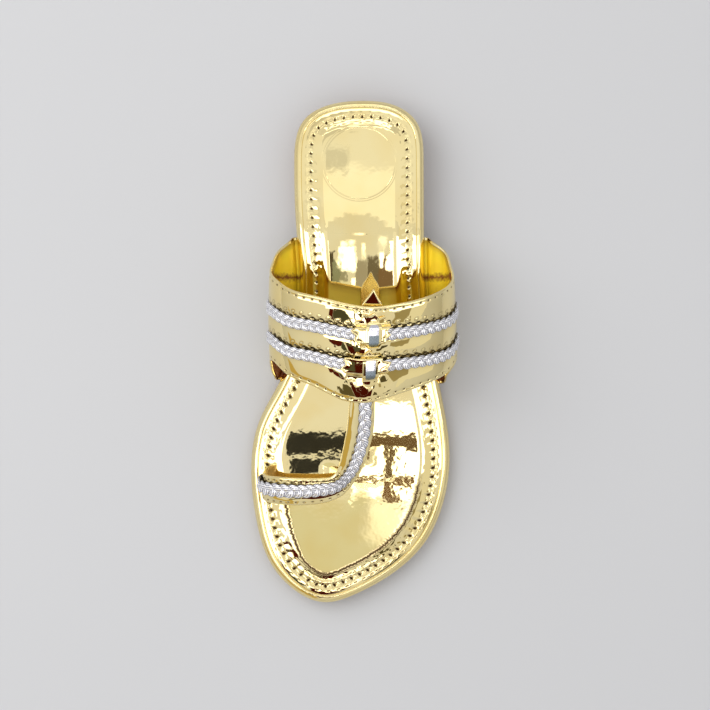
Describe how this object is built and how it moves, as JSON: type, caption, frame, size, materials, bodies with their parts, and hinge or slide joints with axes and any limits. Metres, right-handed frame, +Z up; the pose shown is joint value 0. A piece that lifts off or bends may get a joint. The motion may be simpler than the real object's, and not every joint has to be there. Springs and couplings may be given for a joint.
{
  "type": "kolhapuri chappal",
  "caption": "Flat women's toe-loop sandal with a padded insole, a rolled edge, one broad instep band with braid trims and pinked rosettes, and a strap that ends in a great-toe loop.",
  "frame": {"origin": "centre of the shoe's footprint box on the floor", "axes": "+Z up, +Y towards the heel, -Y towards the toe, +X towards the outer side of a left foot"},
  "size_m": [0.104, 0.2502, 0.0666],
  "materials": {
    "gold_foil": "mirror gold foil laminated on synthetic leather, softly creased, with stitch holes",
    "gold_insole": "mirror gold foil over a thin padded insole, puckered along its edge seam",
    "silver_braid": "flat herringbone braid of silver metallised yarn",
    "tan_rubber": "matt tan rubber, lightly grained"
  },
  "bodies": {
    "root": {"outsole": "tan_rubber", "heel": "tan_rubber", "midsole": "gold_foil", "insole": "gold_insole", "upper": "gold_foil", "braid_back": "silver_braid", "braid_front": "silver_braid", "braid_toe": "silver_braid", "rosette_back": "gold_foil", "rosette_front": "gold_foil", "tie_back": "silver_braid", "tie_front": "silver_braid"}
  },
  "joints": []
}
